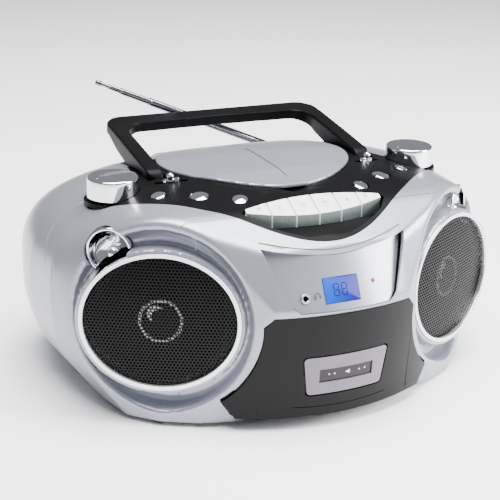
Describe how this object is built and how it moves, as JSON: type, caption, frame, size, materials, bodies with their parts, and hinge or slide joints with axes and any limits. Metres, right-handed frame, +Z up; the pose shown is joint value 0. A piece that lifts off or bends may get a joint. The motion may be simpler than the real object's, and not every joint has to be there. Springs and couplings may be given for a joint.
{
  "type": "portable cassette player",
  "caption": "Portable stereo with curved casing, twin oval speakers, cassette door with piano keys, disc lid on top, folding carry handle and telescopic antenna.",
  "frame": {"origin": "bottom centre of the bounding box, on the surface the feet stand on", "axes": "+X to the right of someone who faces the front, +Y to the rear, +Z up"},
  "size_m": [0.33, 0.2402, 0.1849],
  "materials": {
    "silver": "silver metallic lacquer",
    "black_satin": "black satin",
    "black_gloss": "black gloss",
    "chrome": "bright plated",
    "steel": "zinc plated",
    "key_plastic": "pearl white",
    "lcd": "backlit liquid crystal",
    "led": "dark red lens",
    "window": "smoked",
    "paper_cone": "coated paper",
    "rubber": "matt",
    "board": "solder mask",
    "iron": "varnished laminations",
    "white_plastic": "natural acetal",
    "brass": "turned",
    "dark_plastic": "dark grey",
    "speaker_mesh": "black powder coat"
  },
  "bodies": {
    "casing": {"front_shell": "silver", "rear_shell": "silver", "top_panel": "black_satin", "display_panel": "silver", "lcd_window": "lcd", "lcd_module": "board", "standby_led": "led", "headphone_jack": "steel", "bass_port_trims": "chrome", "speaker_grilles": "speaker_mesh", "grille_rings": "chrome", "speaker_baskets": "steel", "speaker_cones": "paper_cone", "rubber_feet": "rubber", "case_screws": "steel", "ac_inlet": "dark_plastic", "transformer": "iron", "main_board": "board", "cd_well": "black_satin", "spindle_motor": "steel", "sled_rods": "steel", "deck_plate": "steel", "deck_motor": "steel", "drive_belt": "rubber"},
    "battery_door": {"battery_door": "silver"},
    "cd_lid": {"cd_lid": "silver"},
    "disc_clamp": {"disc_clamp": "white_plastic"},
    "turntable": {"turntable": "black_satin"},
    "laser_sled": {"laser_sled": "dark_plastic"},
    "cassette_door": {"cassette_door": "black_gloss", "cassette_window": "window", "cassette_holder": "black_satin"},
    "capstan": {"capstan_flywheel": "brass"},
    "pinch_roller": {"pinch_roller": "rubber"},
    "head_slide": {"head_slide": "steel"},
    "supply_reel": {"supply_reel": "white_plastic"},
    "takeup_reel": {"takeup_reel": "white_plastic"},
    "motor_pulley": {"motor_pulley": "brass"},
    "record_key": {"record_key": "key_plastic"},
    "play_key": {"play_key": "key_plastic"},
    "rewind_key": {"rewind_key": "key_plastic"},
    "forward_key": {"forward_key": "key_plastic"},
    "stop_key": {"stop_key": "key_plastic"},
    "pause_key": {"pause_key": "key_plastic"},
    "volume_knob": {"volume_knob": "chrome"},
    "tuning_knob": {"tuning_knob": "chrome"},
    "function_switch": {"function_switch": "chrome"},
    "band_switch": {"band_switch": "chrome"},
    "program_button": {"program_button": "chrome"},
    "display_button": {"display_button": "chrome"},
    "back_button": {"back_button": "chrome"},
    "skip_button": {"skip_button": "chrome"},
    "cd_play_button": {"cd_play_button": "chrome"},
    "repeat_button": {"repeat_button": "chrome"},
    "carry_handle": {"carry_handle": "black_satin"},
    "antenna_yoke": {"antenna_yoke": "steel"},
    "antenna_stage_1": {"antenna_stage_1": "chrome"},
    "antenna_stage_2": {"antenna_stage_2": "chrome"},
    "antenna_stage_3": {"antenna_stage_3": "chrome"},
    "antenna_stage_4": {"antenna_stage_4": "chrome"}
  },
  "joints": [
    {"name": "handle_swing", "type": "hinge", "parent": "casing", "child": "carry_handle", "pos_m": [0, 0.019, 0.136], "axis": [-1, 0, 0], "range_deg": [-80, 0]},
    {"name": "lid_hinge", "type": "hinge", "parent": "casing", "child": "cd_lid", "pos_m": [0, 0.09, 0.13], "axis": [-1, 0, 0], "range_deg": [0, 55]},
    {"name": "clamp_spin", "type": "hinge", "parent": "cd_lid", "child": "disc_clamp", "pos_m": [0, 0.026, 0.1326], "axis": [0, 0, 1], "continuous": true},
    {"name": "turntable_spin", "type": "hinge", "parent": "casing", "child": "turntable", "pos_m": [0, 0.026, 0.1235], "axis": [0, 0, 1], "continuous": true},
    {"name": "sled_travel", "type": "slide", "parent": "casing", "child": "laser_sled", "axis": [-1, 0, 0], "range_m": [-0.005, 0.013]},
    {"name": "door_hinge", "type": "hinge", "parent": "casing", "child": "cassette_door", "pos_m": [0, -0.102, 0.0145], "axis": [1, 0, 0], "range_deg": [0, 28]},
    {"name": "record_key_press", "type": "hinge", "parent": "casing", "child": "record_key", "pos_m": [0, -0.05, 0.123], "axis": [1, 0, 0], "range_deg": [0, 8], "stiffness_Nm_per_rad": 0.35, "springref_deg": -3.44},
    {"name": "play_key_press", "type": "hinge", "parent": "casing", "child": "play_key", "pos_m": [0, -0.05, 0.123], "axis": [1, 0, 0], "range_deg": [0, 8], "stiffness_Nm_per_rad": 0.35, "springref_deg": -3.44},
    {"name": "rewind_key_press", "type": "hinge", "parent": "casing", "child": "rewind_key", "pos_m": [0, -0.05, 0.123], "axis": [1, 0, 0], "range_deg": [0, 8], "stiffness_Nm_per_rad": 0.35, "springref_deg": -3.44},
    {"name": "forward_key_press", "type": "hinge", "parent": "casing", "child": "forward_key", "pos_m": [0, -0.05, 0.123], "axis": [1, 0, 0], "range_deg": [0, 8], "stiffness_Nm_per_rad": 0.35, "springref_deg": -3.44},
    {"name": "stop_key_press", "type": "hinge", "parent": "casing", "child": "stop_key", "pos_m": [0, -0.05, 0.123], "axis": [1, 0, 0], "range_deg": [0, 8], "stiffness_Nm_per_rad": 0.35, "springref_deg": -3.44},
    {"name": "pause_key_press", "type": "hinge", "parent": "casing", "child": "pause_key", "pos_m": [0, -0.05, 0.123], "axis": [1, 0, 0], "range_deg": [0, 8], "stiffness_Nm_per_rad": 0.35, "springref_deg": -3.44},
    {"name": "head_drop", "type": "slide", "parent": "casing", "child": "head_slide", "axis": [0, 0, -1], "range_m": [0, 0.005]},
    {"name": "roller_spin", "type": "hinge", "parent": "head_slide", "child": "pinch_roller", "pos_m": [-0.0164, -0.0945, 0.0795], "axis": [0, 1, 0], "continuous": true},
    {"name": "capstan_spin", "type": "hinge", "parent": "casing", "child": "capstan", "pos_m": [-0.012, -0.08, 0.072], "axis": [0, 1, 0], "continuous": true},
    {"name": "pulley_spin", "type": "hinge", "parent": "casing", "child": "motor_pulley", "pos_m": [0.036, -0.075, 0.072], "axis": [0, 1, 0], "continuous": true},
    {"name": "supply_spin", "type": "hinge", "parent": "casing", "child": "supply_reel", "pos_m": [-0.02125, -0.09, 0.041], "axis": [0, 1, 0], "continuous": true},
    {"name": "takeup_spin", "type": "hinge", "parent": "casing", "child": "takeup_reel", "pos_m": [0.02125, -0.09, 0.041], "axis": [0, 1, 0], "continuous": true},
    {"name": "volume_turn", "type": "hinge", "parent": "casing", "child": "volume_knob", "pos_m": [-0.1127, 0.0033, 0.14], "axis": [0, 0, 1], "range_deg": [-150, 150]},
    {"name": "tuning_turn", "type": "hinge", "parent": "casing", "child": "tuning_knob", "pos_m": [0.1127, 0.0033, 0.14], "axis": [0, 0, 1], "range_deg": [-150, 150]},
    {"name": "function_switch_slide", "type": "slide", "parent": "casing", "child": "function_switch", "axis": [0.9393, -0.3052, 0.1564], "range_m": [-0.0035, 0.0035]},
    {"name": "band_switch_slide", "type": "slide", "parent": "casing", "child": "band_switch", "axis": [0.9393, 0.3052, -0.1564], "range_m": [-0.0035, 0.0035]},
    {"name": "program_button_press", "type": "slide", "parent": "casing", "child": "program_button", "axis": [0.2059, 0.1392, -0.9686], "range_m": [0, 0.0013], "stiffness_N_per_m": 250, "springref_m": -0.001},
    {"name": "display_button_press", "type": "slide", "parent": "casing", "child": "display_button", "axis": [0.153, 0.2079, -0.9661], "range_m": [0, 0.0013], "stiffness_N_per_m": 250, "springref_m": -0.001},
    {"name": "back_button_press", "type": "slide", "parent": "casing", "child": "back_button", "axis": [0.1005, 0.2756, -0.956], "range_m": [0, 0.0013], "stiffness_N_per_m": 250, "springref_m": -0.001},
    {"name": "skip_button_press", "type": "slide", "parent": "casing", "child": "skip_button", "axis": [-0.1005, 0.2756, -0.956], "range_m": [0, 0.0013], "stiffness_N_per_m": 250, "springref_m": -0.001},
    {"name": "cd_play_button_press", "type": "slide", "parent": "casing", "child": "cd_play_button", "axis": [-0.153, 0.2079, -0.9661], "range_m": [0, 0.0013], "stiffness_N_per_m": 250, "springref_m": -0.001},
    {"name": "repeat_button_press", "type": "slide", "parent": "casing", "child": "repeat_button", "axis": [-0.2059, 0.1392, -0.9686], "range_m": [0, 0.0013], "stiffness_N_per_m": 250, "springref_m": -0.001},
    {"name": "battery_door_pull", "type": "slide", "parent": "casing", "child": "battery_door", "axis": [0, 1, 0], "range_m": [0, 0.02]},
    {"name": "antenna_swivel", "type": "hinge", "parent": "casing", "child": "antenna_yoke", "pos_m": [0.1, 0.112, 0.102], "axis": [0, 1, 0], "range_deg": [-23.4, 120]},
    {"name": "antenna_tilt", "type": "hinge", "parent": "antenna_yoke", "child": "antenna_stage_1", "pos_m": [0.1, 0.118, 0.102], "axis": [-0.3971, 0, -0.9178], "range_deg": [0, 85]},
    {"name": "antenna_pull_2", "type": "slide", "parent": "antenna_stage_1", "child": "antenna_stage_2", "axis": [-0.9178, 0, 0.3971], "range_m": [0, 0.13]},
    {"name": "antenna_pull_3", "type": "slide", "parent": "antenna_stage_2", "child": "antenna_stage_3", "axis": [-0.9178, 0, 0.3971], "range_m": [0, 0.13]},
    {"name": "antenna_pull_4", "type": "slide", "parent": "antenna_stage_3", "child": "antenna_stage_4", "axis": [-0.9178, 0, 0.3971], "range_m": [0, 0.13]}
  ],
  "couplings": [
    {"joint": "play_key_press", "follows": "head_drop", "rad_per_m": 27.92},
    {"joint": "pulley_spin", "follows": "capstan_spin", "ratio": 4.41}
  ]
}
